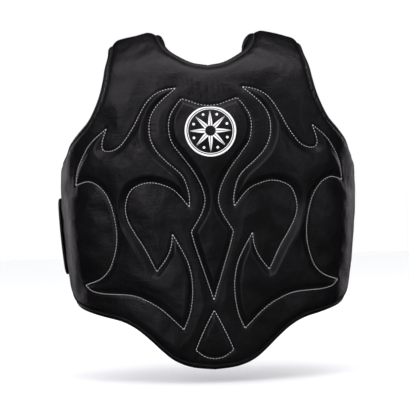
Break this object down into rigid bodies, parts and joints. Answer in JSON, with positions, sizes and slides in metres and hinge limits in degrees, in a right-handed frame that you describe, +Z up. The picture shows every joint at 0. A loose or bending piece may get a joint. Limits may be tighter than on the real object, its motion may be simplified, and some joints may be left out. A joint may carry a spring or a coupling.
{
  "type": "chest protector",
  "caption": "Padded leather front panel that wraps to the sides and over both shoulders, with quilted relief pads, edge bindings, a hook-and-loop waist belt and a crossed back harness.",
  "frame": {"origin": "on the upright axis of the wearer's torso, level with the lowest point of the panel's hem", "axes": "+Z up; the front faces -Y; +X is towards the wearer's left, which is the viewer's right from the front"},
  "size_m": [0.4589, 0.2895, 0.5113],
  "materials": {
    "leather": "satin",
    "binding": "satin",
    "foam": "matte",
    "soft_foam": "matte",
    "lining": "matte",
    "elastic": "matte",
    "hook_and_loop": "matte",
    "print": "satin"
  },
  "bodies": {
    "torso_shell": {"front_cover": "leather", "field_foam": "foam", "left_flame_pad": "soft_foam", "right_flame_pad": "soft_foam", "shield_pad": "soft_foam", "drop_pad": "soft_foam", "impact_foam": "foam", "comfort_foam": "soft_foam", "inner_lining": "lining", "hem_binding": "binding", "neck_binding": "binding", "left_side_binding": "binding", "right_side_binding": "binding", "chest_emblem": "print", "belt_anchor": "leather", "wing_loop_panel": "hook_and_loop", "left_strap_loop": "hook_and_loop", "right_strap_loop": "hook_and_loop"},
    "waist_belt": {"belt_elastic": "elastic"},
    "belt_end": {"belt_tab": "leather", "belt_tab_hook": "hook_and_loop"},
    "back_harness": {"left_strap": "leather", "right_strap": "leather", "left_strap_hook": "hook_and_loop", "right_strap_hook": "hook_and_loop", "cross_patch": "leather"}
  },
  "joints": [
    {"name": "belt_swing", "type": "hinge", "parent": "torso_shell", "child": "waist_belt", "pos_m": [0.18939, 0.08657, 0.19969], "axis": [0, 0, -1], "range_deg": [0, 110]},
    {"name": "belt_end_peel", "type": "hinge", "parent": "waist_belt", "child": "belt_end", "pos_m": [-0.16762, 0.1008, 0.19979], "axis": [0, 0, -1], "range_deg": [0, 95]},
    {"name": "harness_swing", "type": "hinge", "parent": "torso_shell", "child": "back_harness", "pos_m": [0, 0.0505, 0.451], "axis": [1, 0, 0], "range_deg": [0, 75]}
  ]
}
